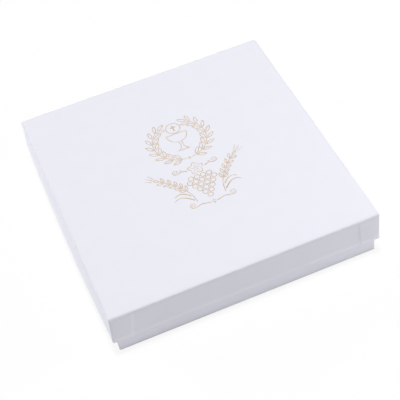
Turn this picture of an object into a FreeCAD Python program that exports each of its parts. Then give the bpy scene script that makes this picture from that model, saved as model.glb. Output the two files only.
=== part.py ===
import FreeCAD, Part
import math
import os
import re

import Sketcher

# A rigid board box with a lift-off lid that telescopes over its base. Both trays are folded from grey board,
# held at the corners by paper stays, wrapped in white paper and lined. A slit foam pad lies in the base, and the
# lid carries a gold foil stamp. Origin: middle of the underside. +Z is up, -Y is the front, and the stamp reads
# from the front. Millimetres.

# Driving sizes. Each one is a cell of the sheet under its own alias.
SIZES = {
    # Whole box
    "lid_width": 160.0,
    "lid_depth": 170.0,
    "box_height": 32.0,
    "lid_skirt": 20.0,
    "lid_clearance": 0.3,
    # Sheets and boards
    "board_thickness": 1.2,
    "wrap_thickness": 0.2,
    "liner_thickness": 0.2,
    "fold_radius": 0.4,
    "seam_gap": 0.15,
    # Wrap turned in over the rims, and under the base
    "lid_turn_in": 12.0,
    "base_turn_in": 15.0,
    "turn_under": 12.0,
    "bottom_sheet_inset": 2.0,
    "liner_gap": 0.3,
    # Corner stays
    "stay_leg": 14.0,
    "stay_thickness": 0.12,
    "stay_margin": 1.0,
    # Pad in the base
    "pad_thickness": 14.0,
    "pad_clearance": 0.4,
    "pad_edge_radius": 2.0,
    "face_thickness": 0.5,
    "slit_length": 24.0,
    "slit_width": 1.0,
    "slit_depth": 8.0,
    "slit_inset": 26.0,
    "slit_angle": 45.0,
    # Foil stamp, placed from the middle of the lid
    "foil_thickness": 0.04,
    "foil_stroke": 0.42,
    "foil_gap": 0.3,
    "stamp_shift": 2.5,
    "wreath_middle": 22.0,
    "wreath_radius": 16.5,
    "wreath_pairs": 8.0,
    "leaf_length": 6.2,
    "leaf_width": 2.3,
    "disc_radius": 4.6,
    "chalice_width": 13.0,
    "chalice_height": 15.0,
    "garland_drop": 11.0,
    "grape_radius": 1.75,
    "vine_leaf_radius": 4.2,
    "spray_foot": 8.8,
    "spray_lean": 20.0,
    "spray_length": 29.0,
    "grain_length": 4.3,
    "grain_width": 1.8,
    "scroll_size": 2.0,
    "scroll_reach": 6.5,
    "scroll_stroke": 0.6,
}

# Layers of a wrapped wall from outside to inside: wrap, board, wrap turned in over the rim
WALL = "(2 * wrap_thickness + board_thickness)"
BOARD_RADIUS = "(fold_radius + stay_thickness)"
WRAP_RADIUS = "(fold_radius + stay_thickness + wrap_thickness)"

# The lid's lining rests on the rim of the base
BASE_RIM = "(box_height - wrap_thickness - board_thickness - liner_thickness)"
BASE_WIDTH = f"(lid_width - 2 * ({WALL} + lid_clearance))"
BASE_DEPTH = f"(lid_depth - 2 * ({WALL} + lid_clearance))"
BASE_HEIGHT = f"({BASE_RIM} - wrap_thickness)"

# The pad lies on the lining of the base
PAD_BOTTOM = "(2 * wrap_thickness + board_thickness + liner_thickness)"
PAD_WIDTH = f"({BASE_WIDTH} - 2 * ({WALL} + pad_clearance))"
PAD_DEPTH = f"({BASE_DEPTH} - 2 * ({WALL} + pad_clearance))"
PAD_TOP = f"({PAD_BOTTOM} + pad_thickness + face_thickness)"

# The corners in order, a quarter turn apart
CORNERS = {
    "front_left": (-1, -1),
    "front_right": (1, -1),
    "back_right": (1, 1),
    "back_left": (-1, 1),
}

# Two points closer than this are one point, and a face is flat within it
SAME = 1e-4

doc = FreeCAD.newDocument("necklace_box")
sheet = doc.addObject("Spreadsheet::Sheet", "sizes")
for row, (alias, size) in enumerate(SIZES.items(), start=1):
    sheet.set(f"A{row}", alias)
    sheet.set(f"B{row}", str(size))
    sheet.setAlias(f"B{row}", alias)
doc.recompute()


def bound(formula):
    """A formula with every alias written as a cell of the sheet."""
    return re.sub(r"[a-z]\w*", lambda word: f"sizes.{word[0]}" if word[0] in SIZES else word[0], formula)


def number(formula):
    """What a formula gives with the sheet's sizes."""
    return float(sheet.evalExpression(formula))


def bind(thing, path, formula):
    thing.setExpression(path, bound(formula))


# Sketches and features

def origin_plane(body, role):
    return next(plane for plane in body.Origin.OriginFeatures if plane.Role == role)


def new_sketch(body, level):
    """A level sketch at a height above the body's own origin."""
    sketch = body.newObject("Sketcher::SketchObject", f"{body.Name}_sketch")
    sketch.AttachmentSupport = [(origin_plane(body, "XY_Plane"), "")]
    sketch.MapMode = "FlatFace"
    bind(sketch, "AttachmentOffset.Base.z", level)
    return sketch


def line_between(start, end):
    return Part.LineSegment(FreeCAD.Vector(*start, 0), FreeCAD.Vector(*end, 0))


def constrain(sketch, name, formula, kind, *where):
    index = sketch.addConstraint(Sketcher.Constraint(kind, *where, number(formula)))
    sketch.renameConstraint(index, name)
    bind(sketch, f"Constraints.{name}", formula)


def rectangle(sketch, width, depth, radius=None):
    """A rectangle about the origin, with rounded corners where a radius is given."""
    half_x = number(width) / 2
    half_y = number(depth) / 2
    cut = number(radius) if radius else 0.0
    ends = (
        ((cut - half_x, -half_y), (half_x - cut, -half_y)),
        ((half_x, cut - half_y), (half_x, half_y - cut)),
        ((half_x - cut, half_y), (cut - half_x, half_y)),
        ((-half_x, half_y - cut), (-half_x, cut - half_y)),
    )
    sides = [sketch.addGeometry(line_between(*pair)) for pair in ends]
    if radius:
        centres = ((1, -1, -90), (1, 1, 0), (-1, 1, 90), (-1, -1, 180))
        arcs = []
        for side_x, side_y, turn in centres:
            centre = FreeCAD.Vector(side_x * (half_x - cut), side_y * (half_y - cut), 0)
            circle = Part.Circle(centre, FreeCAD.Vector(0, 0, 1), cut)
            quarter = math.radians(turn), math.radians(turn + 90)
            arcs.append(sketch.addGeometry(Part.ArcOfCircle(circle, *quarter)))
        for this, arc in enumerate(arcs):
            following = sides[(this + 1) % len(sides)]
            sketch.addConstraint(Sketcher.Constraint("Tangent", sides[this], 2, arc, 1))
            sketch.addConstraint(Sketcher.Constraint("Tangent", arc, 2, following, 1))
        for arc in arcs[1:]:
            sketch.addConstraint(Sketcher.Constraint("Equal", arcs[0], arc))
        constrain(sketch, "corner", radius, "Radius", arcs[0])
    else:
        for this, side in enumerate(sides):
            following = sides[(this + 1) % len(sides)]
            sketch.addConstraint(Sketcher.Constraint("Coincident", side, 2, following, 1))
    for side, direction in zip(sides, ("Horizontal", "Vertical", "Horizontal", "Vertical")):
        sketch.addConstraint(Sketcher.Constraint(direction, side))
    sketch.addConstraint(Sketcher.Constraint("Symmetric", sides[0], 1, sides[2], 1, -1, 1))
    constrain(sketch, "width", width, "DistanceX", sides[3], 1, sides[1], 1)
    constrain(sketch, "depth", depth, "DistanceY", sides[0], 1, sides[2], 1)


def pad(body, sketch, length):
    feature = body.newObject("PartDesign::Pad", f"{body.Name}_pad")
    feature.Profile = sketch
    bind(feature, "Length", length)
    doc.recompute()
    return feature


def pocket(body, sketch, depth):
    """A cut downwards from a sketch, which has to take something away."""
    before = body.Shape.Volume
    feature = body.newObject("PartDesign::Pocket", f"{body.Name}_pocket")
    feature.Profile = sketch
    bind(feature, "Length", depth)
    doc.recompute()
    if body.Shape.Volume > before - SAME:
        raise ValueError(f"{feature.Name} cuts nothing")
    return feature


def round_level_edges(body, level, radius):
    """Rounds all the edges that lie at one height."""
    tip = body.Tip
    height = number(level)
    names = []
    for index, edge in enumerate(tip.Shape.Edges, start=1):
        box = edge.BoundBox
        if abs(box.ZMin - height) < SAME and abs(box.ZMax - height) < SAME:
            names.append(f"Edge{index}")
    feature = body.newObject("PartDesign::Fillet", f"{body.Name}_round")
    feature.Base = (tip, names)
    bind(feature, "Radius", radius)
    doc.recompute()


def block(name, width, depth, level, height, corner=None):
    """A body that starts as an upright block about the Z axis."""
    body = doc.addObject("PartDesign::Body", name)
    sketch = new_sketch(body, level)
    rectangle(sketch, width, depth, corner)
    pad(body, sketch, height)
    return body


def hollow(body, width, depth, level, deep):
    """A plain rectangular hollow, cut downwards from a level."""
    sketch = new_sketch(body, level)
    rectangle(sketch, width, depth)
    pocket(body, sketch, deep)


def cut(label, base, tool):
    result = doc.addObject("Part::Cut", f"{label}_cut")
    result.Base = base
    result.Tool = tool
    result.Label = label
    return result


def group(name, members):
    compound = doc.addObject("Part::Compound", name)
    compound.Links = members
    return compound


# Wrapped trays, drawn floor down with the outside of the floor at zero

def wrap_block(name, width, depth, height, turn_in):
    """The wrap with the board's place still solid: outside, rim and turned-in wall."""
    body = block(f"{name}_wrap_block", width, depth, "0", height, WRAP_RADIUS)
    round_level_edges(body, "0", WRAP_RADIUS)
    hollow(body, f"{width} - 2 * {WALL}", f"{depth} - 2 * {WALL}", height, turn_in)
    inside = "2 * (wrap_thickness + board_thickness)"
    deep = f"{height} - {turn_in} - wrap_thickness - board_thickness"
    hollow(body, f"{width} - {inside}", f"{depth} - {inside}", f"{height} - {turn_in}", deep)
    return body


def board_blank(name, width, depth, height):
    """The folded board: floor and four walls."""
    board_width = f"{width} - 2 * wrap_thickness"
    board_depth = f"{depth} - 2 * wrap_thickness"
    tall = f"{height} - 2 * wrap_thickness"
    body = block(f"{name}_blank", board_width, board_depth, "wrap_thickness", tall, BOARD_RADIUS)
    round_level_edges(body, "wrap_thickness", BOARD_RADIUS)
    inner_width = f"{board_width} - 2 * board_thickness"
    inner_depth = f"{board_depth} - 2 * board_thickness"
    hollow(body, inner_width, inner_depth, f"{height} - wrap_thickness", f"{tall} - board_thickness")
    return body


def liner(name, width, depth, height, turn_in):
    """Paper on the floor and up the walls as far as the turned-in wrap."""
    inside = "2 * (wrap_thickness + board_thickness)"
    floor = "(wrap_thickness + board_thickness)"
    tall = f"({height} - {turn_in} - liner_gap - {floor})"
    body = block(f"{name}_liner_sheet", f"{width} - {inside}", f"{depth} - {inside}", floor, tall)
    lined = f"{inside} + 2 * liner_thickness"
    inner_size = f"{width} - ({lined})", f"{depth} - ({lined})"
    hollow(body, *inner_size, f"{floor} + {tall}", f"{tall} - liner_thickness")
    body.Label = f"{name}_liner"
    return body


def corner_stay(name, corner, width, depth, low, tall):
    """Paper tape folded round one corner of the board and pressed flush with it."""
    side_x, side_y = CORNERS[corner]
    turn = 90 * list(CORNERS).index(corner)
    body = doc.addObject("PartDesign::Body", f"{name}_stay_{corner}")
    sketch = new_sketch(body, "0")
    leg = number("stay_leg")
    thick = number("stay_thickness")
    outer = number(BOARD_RADIUS)
    inner = number("fold_radius")
    up = FreeCAD.Vector(0, 0, 1)
    centre = FreeCAD.Vector(outer, outer, 0)
    ends = (
        ((outer, 0), (leg, 0)),
        ((leg, 0), (leg, thick)),
        ((leg, thick), (outer, thick)),
        ((thick, outer), (thick, leg)),
        ((thick, leg), (0, leg)),
        ((0, leg), (0, outer)),
    )
    lines = [sketch.addGeometry(line_between(*pair)) for pair in ends]
    quarter = (math.pi, 1.5 * math.pi)
    inside = sketch.addGeometry(Part.ArcOfCircle(Part.Circle(centre, up, inner), *quarter))
    outside = sketch.addGeometry(Part.ArcOfCircle(Part.Circle(centre, up, outer), *quarter))
    for first, second in ((0, 1), (1, 2), (3, 4), (4, 5)):
        sketch.addConstraint(Sketcher.Constraint("Coincident", lines[first], 2, lines[second], 1))
    bends = ((0, 1, outside, 2), (5, 2, outside, 1), (2, 2, inside, 2), (3, 1, inside, 1))
    for line, line_end, arc, arc_end in bends:
        sketch.addConstraint(Sketcher.Constraint("Tangent", lines[line], line_end, arc, arc_end))
    sketch.addConstraint(Sketcher.Constraint("Horizontal", lines[0]))
    sketch.addConstraint(Sketcher.Constraint("Vertical", lines[1]))
    sketch.addConstraint(Sketcher.Constraint("Horizontal", lines[4]))
    sketch.addConstraint(Sketcher.Constraint("Vertical", lines[5]))
    sketch.addConstraint(Sketcher.Constraint("PointOnObject", lines[0], 1, -1))
    sketch.addConstraint(Sketcher.Constraint("PointOnObject", lines[5], 2, -2))
    constrain(sketch, "outer_bend", BOARD_RADIUS, "Radius", outside)
    constrain(sketch, "inner_bend", "fold_radius", "Radius", inside)
    constrain(sketch, "leg_x", "stay_leg", "DistanceX", -1, 1, lines[0], 2)
    constrain(sketch, "leg_y", "stay_leg", "DistanceY", -1, 1, lines[5], 1)
    constrain(sketch, "thickness", "stay_thickness", "DistanceY", lines[1], 1, lines[1], 2)
    pad(body, sketch, tall)
    body.Placement = FreeCAD.Placement(FreeCAD.Vector(), FreeCAD.Rotation(up, turn))
    bind(body, "Placement.Base.x", f"{side_x} * ({width} / 2 - wrap_thickness)")
    bind(body, "Placement.Base.y", f"{side_y} * ({depth} / 2 - wrap_thickness)")
    bind(body, "Placement.Base.z", low)
    body.Label = f"{name}_corner_stay_{corner}"
    return body


def corner_seam(name, corner, width, depth, low, tall):
    """The open seam where the end of a side wall meets the front or back wall."""
    side_x, side_y = CORNERS[corner]
    seam = doc.addObject("Part::Box", f"{name}_seam_{corner}")
    bind(seam, "Length", "board_thickness")
    bind(seam, "Width", "seam_gap")
    bind(seam, "Height", tall)
    wall_x = f"{side_x} * ({width} / 2 - wrap_thickness - board_thickness / 2)"
    wall_y = f"{side_y} * ({depth} / 2 - wrap_thickness - board_thickness - seam_gap / 2)"
    bind(seam, "Placement.Base.x", f"{wall_x} - board_thickness / 2")
    bind(seam, "Placement.Base.y", f"{wall_y} - seam_gap / 2")
    bind(seam, "Placement.Base.z", low)
    return seam


def turn_over(body):
    """Turns a tray upside down, with its floor at the top of the box."""
    body.Placement = FreeCAD.Placement(FreeCAD.Vector(), FreeCAD.Rotation(FreeCAD.Vector(1, 0, 0), 180))
    bind(body, "Placement.Base.z", "box_height")


def make_lid():
    width, depth, height = "lid_width", "lid_depth", "lid_skirt"
    rim = "(box_height - lid_skirt + wrap_thickness)"
    wall = "(lid_skirt - 2 * wrap_thickness - board_thickness)"
    wrap = wrap_block("lid", width, depth, height, "lid_turn_in")
    blank = board_blank("lid", width, depth, height)
    lining = liner("lid", width, depth, height, "lid_turn_in")
    for body in (wrap, blank, lining):
        turn_over(body)
    stay_low = f"({rim} + stay_margin)"
    stay_tall = f"({wall} - 2 * stay_margin)"
    stays = [corner_stay("lid", corner, width, depth, stay_low, stay_tall) for corner in CORNERS]
    seams = [corner_seam("lid", corner, width, depth, rim, wall) for corner in CORNERS]
    board = cut("lid_board", blank, group("lid_joins", stays + seams))
    return [cut("lid_wrap", wrap, blank), board, lining] + stays


def make_base():
    width, depth, height = BASE_WIDTH, BASE_DEPTH, BASE_HEIGHT
    floor = "(2 * wrap_thickness + board_thickness)"
    wall = f"({BASE_HEIGHT} - 2 * wrap_thickness - board_thickness)"
    wrap = wrap_block("base", width, depth, height, "base_turn_in")
    under = f"{width} - 2 * turn_under", f"{depth} - 2 * turn_under"
    hollow(wrap, *under, "wrap_thickness + board_thickness", "wrap_thickness + board_thickness")
    blank = board_blank("base", width, depth, height)
    lining = liner("base", width, depth, height, "base_turn_in")
    for body in (wrap, blank, lining):
        bind(body, "Placement.Base.z", "wrap_thickness")
    stay_low = f"({floor} + stay_margin)"
    stay_tall = f"({wall} - 2 * stay_margin)"
    stays = [corner_stay("base", corner, width, depth, stay_low, stay_tall) for corner in CORNERS]
    seams = [corner_seam("base", corner, width, depth, floor, wall) for corner in CORNERS]
    board = cut("base_board", blank, group("base_joins", stays + seams))
    sheet_size = f"{width} - 2 * bottom_sheet_inset", f"{depth} - 2 * bottom_sheet_inset"
    bottom = block("bottom_sheet", *sheet_size, "0", "wrap_thickness")
    bottom.Label = "base_bottom_sheet"
    return [cut("base_wrap", wrap, blank), board, lining, bottom] + stays


# Pad

def chain_slit(side):
    """A straight cut across the line from a back corner to the middle of the pad."""
    slit = doc.addObject("Part::Box", "slit_left" if side < 0 else "slit_right")
    bind(slit, "Length", "slit_length")
    bind(slit, "Width", "slit_width")
    bind(slit, "Height", "slit_depth + face_thickness")
    angle = f"({-side} * slit_angle)"
    slit.Placement.Rotation = FreeCAD.Rotation(FreeCAD.Vector(0, 0, 1), number(angle))
    middle_x = f"{side} * ({PAD_WIDTH} / 2 - slit_inset)"
    middle_y = f"({PAD_DEPTH} / 2 - slit_inset)"
    along, across = "slit_length / 2", "slit_width / 2"
    bind(slit, "Placement.Base.x", f"{middle_x} - {along} * cos({angle}) + {across} * sin({angle})")
    bind(slit, "Placement.Base.y", f"{middle_y} - {along} * sin({angle}) - {across} * cos({angle})")
    bind(slit, "Placement.Base.z", f"{PAD_TOP} - slit_depth - face_thickness")
    return slit


def make_insert():
    """A foam block and the flocked cloth over its top and sides, both cut by the chain slits."""
    foam_size = f"{PAD_WIDTH} - 2 * face_thickness", f"{PAD_DEPTH} - 2 * face_thickness"
    foam = block("pad_foam", *foam_size, PAD_BOTTOM, "pad_thickness", "pad_edge_radius")
    round_level_edges(foam, f"{PAD_BOTTOM} + pad_thickness", "pad_edge_radius")
    cloth_radius = "(pad_edge_radius + face_thickness)"
    tall = "pad_thickness + face_thickness"
    cloth = block("pad_cloth", PAD_WIDTH, PAD_DEPTH, PAD_BOTTOM, tall, cloth_radius)
    round_level_edges(cloth, PAD_TOP, cloth_radius)
    slits = group("chain_slits", [chain_slit(side) for side in (-1, 1)])
    cover = cut("pad_cover", cloth, foam)
    return [cut("insert_foam", foam, slits), cut("insert_face", cover, slits)]


# Foil stamp. Its motifs are drawn flat about their own origin and then set on the lid. The sheet holds their
# sizes, and the values here are angles in degrees, counts, and shares of those sizes.

# Strokes: points along a plain one, and the width that a tapered one ends with
STROKE_STEPS = 12
STROKE_TAPER = 0.35

# Wreath: the two ends of a branch, the turn of its inner and outer leaves, and a pair's place in its step
BRANCH_START = -84.0
BRANCH_END = 54.0
LEAF_SPLAY = {-1: 40.0, 1: 33.0}
PAIR_PLACE = 0.6

# Chalice, across as shares of its half width and down as shares of its height
STEM_HALF = 0.16
FOOT_HALF = 0.72
BOWL_END = 0.5
STEM_END = 0.68
BOWL_BULGE = (0.74, 0.36)
FOOT_CURVE = (0.36, 0.92)
RIM_RISE = 0.42

# Cross, as shares of the disc's radius
CROSS_ARM = 0.36
CROSS_UPRIGHT = 0.58

# Grapes in each line of the bunch; lobes of the vine leaf, how far they swell and where a vein starts and ends,
# as shares of the leaf's radius
BUNCH = (4, 5, 4, 3, 2, 1)
LOBES = 5
SWELL = 0.2
VEIN_START = 0.16
VEIN_END = 0.78

# Wheat: first and last pair of grains and the end of the stalk, as shares of the stalk; turn of the grains and
# of the outer awns
EAR_START = 0.36
EAR_END = 0.78
STALK_END = 0.84
GRAIN_PAIRS = 5
GRAIN_SPLAY = 32.0
AWN_SPLAY = 16.0

# Blades: where each leaves the stalk and how long it is, as shares of the stalk; its gap from the stalk, in
# strokes; its rise, as a share of its length, and the turn that the rise follows
BLADES = ((0.06, 0.38), (0.2, 0.3))
BLADE_GAP = 1.5
BLADE_RISE = 0.45
BLADE_TURN = 137.5

# Scrolls: share of the stroke that is its stem, turns of its coil, how far the coil winds in, points along it,
# and the reach of the wider pair; height of the lozenge as a share of its width
STEM_SHARE = 0.4
COIL_TURNS = 1.4
WINDING = 0.78
SCROLL_STEPS = 36
WIDE_REACH = 1.6
LOZENGE_HEIGHT = 1.4


def at(x, y):
    return FreeCAD.Vector(x, y, 0)


def face_between(outer, inner=None):
    """A flat face inside one closed wire, less what a second one holds."""
    wires = [outer] if inner is None else [outer, inner]
    return Part.makeFace(wires, "Part::FaceMakerBullseye")


def arc_through(*points):
    return Part.Arc(*(at(*point) for point in points)).toShape()


def lens(length, width, inset=0.0):
    """Two equal arcs from the origin to a point on X; an inset keeps their centres and shrinks their radius."""
    radius = (length ** 2 / 4 + width ** 2 / 4) / width
    rise = radius - width / 2
    small = radius - inset
    reach = math.sqrt(small ** 2 - rise ** 2)
    left, right = (length / 2 - reach, 0), (length / 2 + reach, 0)
    top, low = (length / 2, small - rise), (length / 2, rise - small)
    return Part.Wire([arc_through(left, top, right), arc_through(right, low, left)])


def leaf(length, width):
    """An outlined leaf or grain."""
    return face_between(lens(length, width), lens(length, width, number("foil_stroke")))


def ring(radius):
    outer = Part.Wire([Part.makeCircle(radius)])
    return face_between(outer, Part.Wire([Part.makeCircle(radius - number("foil_stroke"))]))


def ribbon(path, thick, steps=STROKE_STEPS):
    """A stroke: its path and its half width are functions of a share from 0 to 1."""
    step = 1.0 / steps
    left, right = [], []
    for index in range(steps + 1):
        share = index * step
        before, after = path(max(share - step / 2, 0.0)), path(min(share + step / 2, 1.0))
        along = (at(*after) - at(*before)).normalize()
        aside = at(-along.y, along.x) * thick(share)
        left.append(at(*path(share)) + aside)
        right.append(at(*path(share)) - aside)
    edges = []
    for points in (left, right[::-1]):
        curve = Part.BSplineCurve()
        curve.interpolate(points)
        edges.append(curve.toShape())
    edges.insert(1, Part.makeLine(left[-1], right[-1]))
    edges.append(Part.makeLine(right[0], left[0]))
    return face_between(Part.Wire(edges))


def even(thick):
    return lambda share: thick / 2


def tapered(thick, end=STROKE_TAPER):
    """A stroke that narrows to a share of its width."""
    return lambda share: thick / 2 * (1 - (1 - end) * share)


def placed(face, x, y, turn=0.0):
    """A copy turned about its own origin and then set at a point."""
    copy = face.copy()
    move = FreeCAD.Placement(at(x, y), FreeCAD.Rotation(FreeCAD.Vector(0, 0, 1), turn))
    copy.Placement = move.multiply(face.Placement)
    return copy


def both_sides(faces):
    """The faces and their mirror images, left to right."""
    return faces + [face.mirror(at(0, 0), at(1, 0)).copy() for face in faces]


def arc_point(radius, degrees):
    turn = math.radians(degrees)
    return radius * math.cos(turn), radius * math.sin(turn)


def bead(radius):
    return face_between(Part.Wire([Part.makeCircle(radius)]))


def wreath():
    """Two laurel branches in a ring that leave its top open, tied by a small ring at the bottom."""
    radius, stroke, gap = number("wreath_radius"), number("foil_stroke"), number("foil_gap")
    length, width = number("leaf_length"), number("leaf_width")
    pairs = round(number("wreath_pairs"))
    sweep = BRANCH_END - BRANCH_START
    shapes = [ribbon(lambda share: arc_point(radius, BRANCH_START + sweep * share), even(stroke))]
    for index in range(pairs):
        turn = BRANCH_START + sweep * (index + PAIR_PLACE) / pairs
        for side in (-1, 1):
            root = arc_point(radius + side * (gap + stroke / 2), turn)
            shapes.append(placed(leaf(length, width), *root, turn + 90 - side * LEAF_SPLAY[side]))
    root = arc_point(radius, BRANCH_END + math.degrees(gap / radius))
    shapes.append(placed(leaf(length, width), *root, BRANCH_END + 90))
    tie = placed(ring(2 * stroke), *arc_point(radius, -90))
    return [placed(shape, 0, number("wreath_middle")) for shape in both_sides(shapes) + [tie]]


def chalice():
    """A plain cup in outline with a disc and an upright cross over it."""
    half, tall, stroke = number("chalice_width") / 2, number("chalice_height"), number("foil_stroke")
    stem, foot = half * STEM_HALF, half * FOOT_HALF
    bowl, neck = -tall * BOWL_END, -tall * STEM_END
    bulge = half * BOWL_BULGE[0], -tall * BOWL_BULGE[1]
    curve = half * FOOT_CURVE[0], -tall * FOOT_CURVE[1]
    right = [
        arc_through((half, 0), bulge, (stem, bowl)),
        Part.makeLine(at(stem, bowl), at(stem, neck)),
        arc_through((stem, neck), curve, (foot, -tall)),
    ]
    left = [edge.mirror(at(0, 0), at(1, 0)) for edge in right]
    lines = [Part.makeLine(at(-half, 0), at(half, 0)), Part.makeLine(at(foot, -tall), at(-foot, -tall))]
    outline = Part.Wire(Part.__sortEdges__(right + left + lines))
    cup = face_between(outline, outline.makeOffset2D(-stroke, 2))
    radius = number("disc_radius")
    arm, upright, bar = radius * CROSS_ARM, radius * CROSS_UPRIGHT, stroke
    corners = [
        (-bar, -upright), (bar, -upright), (bar, bar), (arm, bar), (arm, 3 * bar), (bar, 3 * bar),
        (bar, upright), (-bar, upright), (-bar, 3 * bar), (-arm, 3 * bar), (-arm, bar), (-bar, bar),
    ]
    cross = face_between(Part.makePolygon([at(*corner) for corner in corners + corners[:1]]))
    rim = number("wreath_middle") + tall * RIM_RISE
    above = rim + radius + number("foil_gap")
    return [placed(cup, 0, rim), placed(ring(radius), 0, above), placed(cross, 0, above)]


def bunch_level(line):
    """Height of a line of grapes below the middle of the lid; the lines nest into each other."""
    pitch = 2 * number("grape_radius") + number("foil_gap")
    return -number("garland_drop") - line * pitch * math.sqrt(3) / 2


def lobed(radius):
    """A closed wire whose distance from its middle swells once for each lobe."""
    turns = [360.0 * index / (4 * LOBES) for index in range(4 * LOBES)]
    reach = [radius * (1 + SWELL * math.cos(math.radians(LOBES * (turn - 90)))) for turn in turns]
    edge = Part.BSplineCurve()
    edge.interpolate([at(*arc_point(far, turn)) for far, turn in zip(reach, turns)], PeriodicFlag=True)
    return Part.Wire([edge.toShape()])


def grapes():
    """A bunch of round grapes under a lobed vine leaf."""
    radius, stroke, gap = number("grape_radius"), number("foil_stroke"), number("foil_gap")
    pitch = 2 * radius + gap
    shapes = []
    for line, count in enumerate(BUNCH):
        places = [(index - (count - 1) / 2) * pitch for index in range(count)]
        shapes += [placed(ring(radius), x, bunch_level(line)) for x in places]
    spread = number("vine_leaf_radius")
    vine_leaf = face_between(lobed(spread), lobed(spread - stroke))
    shapes.append(placed(vine_leaf, 0, vine_leaf_level()))
    vein = ribbon(lambda share: (spread * (VEIN_START + (VEIN_END - VEIN_START) * share), 0), tapered(stroke))
    shapes += [placed(vein, 0, vine_leaf_level(), 90 + 360.0 * lobe / LOBES) for lobe in range(LOBES)]
    return shapes


def vine_leaf_reach():
    return (1 + SWELL) * number("vine_leaf_radius")


def vine_leaf_level():
    return bunch_level(0) + number("grape_radius") + vine_leaf_reach()


def garland_foot():
    """Where the stalks and the lower scrolls start, level with the tip of the bunch."""
    return bunch_level(len(BUNCH) - 1) - number("grape_radius")


def stalk(share):
    """A stalk rises evenly and leans outwards with the square of the share."""
    out = number("spray_foot") + number("spray_lean") * share ** 2
    return out, garland_foot() + number("spray_length") * share


def stalk_turn(share):
    return math.degrees(math.atan2(number("spray_length"), 2 * number("spray_lean") * share))


def wheat():
    """An ear of wheat on each side of the bunch: stalk, paired grains, a last grain, a beard and two blades."""
    stroke, gap = number("foil_stroke"), number("foil_gap")
    grain, wide = number("grain_length"), number("grain_width")
    shapes = [ribbon(lambda share: stalk(STALK_END * share), even(stroke))]
    for index in range(GRAIN_PAIRS):
        share = EAR_START + (EAR_END - EAR_START) * index / (GRAIN_PAIRS - 1)
        turn = stalk_turn(share)
        for side in (-1, 1):
            root = at(*stalk(share)) + at(*arc_point(gap + stroke / 2, turn + 90 * side))
            shapes.append(placed(leaf(grain, wide), root.x, root.y, turn + GRAIN_SPLAY * side))
    turn = stalk_turn(STALK_END)
    last = at(*stalk(STALK_END)) + at(*arc_point(gap, turn))
    shapes.append(placed(leaf(grain, wide), last.x, last.y, turn))
    awn = ribbon(lambda share: (grain + gap + grain * share, 0), tapered(stroke))
    shapes += [placed(awn, last.x, last.y, turn + AWN_SPLAY * side) for side in (-1, 0, 1)]
    for share, reach in BLADES:
        long = reach * number("spray_length")
        root = at(*stalk(share)) + at(gap + BLADE_GAP * stroke, 0)
        bend = lambda part: BLADE_RISE * long * math.sin(math.radians(BLADE_TURN * part))
        blade = ribbon(lambda part: (long * part, bend(part)), tapered(2 * stroke))
        shapes.append(placed(blade, root.x, root.y))
    return both_sides(shapes)


def scroll(reach, size):
    """A stroke that swells up and back along its stem, and then winds in as its radius falls evenly."""
    def path(share):
        if share < STEM_SHARE:
            part = share / STEM_SHARE
            return reach * part, size * (1 - math.cos(2 * math.pi * part)) / 4
        part = (share - STEM_SHARE) / (1 - STEM_SHARE)
        x, y = arc_point(size * (1 - WINDING * part), 360 * COIL_TURNS * part - 90)
        return reach + x, size + y

    return ribbon(path, tapered(number("scroll_stroke")), SCROLL_STEPS)


def scrolls():
    """A pair of scrolls beside the vine leaf and a wider pair under the bunch, with a lozenge and beads."""
    size, reach = number("scroll_size"), number("scroll_reach")
    gap, stroke = number("foil_gap"), number("foil_stroke")
    clear = vine_leaf_reach() + 2 * gap
    low = garland_foot() - size
    half = 2 * number("scroll_stroke")
    shapes = [
        placed(scroll(reach, size), clear, vine_leaf_level()),
        placed(scroll(WIDE_REACH * reach, size), half + 2 * gap, low - size),
        placed(bead(stroke), clear + reach / 2, vine_leaf_level() + size),
    ]
    tall = LOZENGE_HEIGHT * half
    lozenge = [(half, 0), (0, tall), (-half, 0), (0, -tall)]
    diamond = Part.makePolygon([at(*corner) for corner in lozenge + lozenge[:1]])
    middle = face_between(diamond, diamond.makeOffset2D(-stroke, 2))
    return both_sides(shapes) + [placed(middle, 0, low - size)]


def make_foil(label, faces):
    """Flat foil motifs on the lid, each one a film of its own."""
    film = FreeCAD.Vector(0, 0, number("foil_thickness"))
    feature = doc.addObject("Part::Feature", label)
    feature.Shape = Part.makeCompound([face.extrude(film) for face in faces])
    feature.Label = label
    bind(feature, "Placement.Base.x", "stamp_shift")
    bind(feature, "Placement.Base.z", "box_height")
    return feature


def make_stamp():
    motifs = {
        "foil_wreath": wreath(),
        "foil_chalice": chalice(),
        "foil_scrolls": scrolls(),
        "foil_wheat": wheat(),
        "foil_grapes": grapes(),
    }
    return [make_foil(label, faces) for label, faces in motifs.items()]


def check(pieces):
    """Stops on a failed feature, or on a piece with no sound solid."""
    for thing in doc.Objects:
        if "Invalid" in thing.State or "Error" in thing.State:
            raise ValueError(f"{thing.Name} failed: {thing.State}")
    for piece in pieces:
        shape = piece.Shape
        if shape.isNull() or not shape.isValid() or not shape.Solids:
            raise ValueError(f"{piece.Label} has no sound solid")


pieces = make_lid() + make_base() + make_insert() + make_stamp()
doc.recompute()
check(pieces)
os.makedirs("parts", exist_ok=True)
for piece in pieces:
    piece.Shape.exportStep(os.path.join("parts", f"{piece.Label}.step"))
    box = piece.Shape.BoundBox
    print(f"{piece.Label}: {len(piece.Shape.Solids)} solids, {piece.Shape.Volume:.2f} mm3, "
          f"x {box.XMin:.2f} {box.XMax:.2f}, y {box.YMin:.2f} {box.YMax:.2f}, z {box.ZMin:.2f} {box.ZMax:.2f}")
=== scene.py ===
"""A paper-wrapped necklace box with a lift-off lid, a gold foil stamp and a flocked pad.

The wraps, the lid's board and lining, and the pad are surfaces worked out with numpy, in metres, in the
axes of the box's CAD frame: +Z up, -Y to the front. The frame's other pieces keep their shape and get a
finish.
"""
import math

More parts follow.
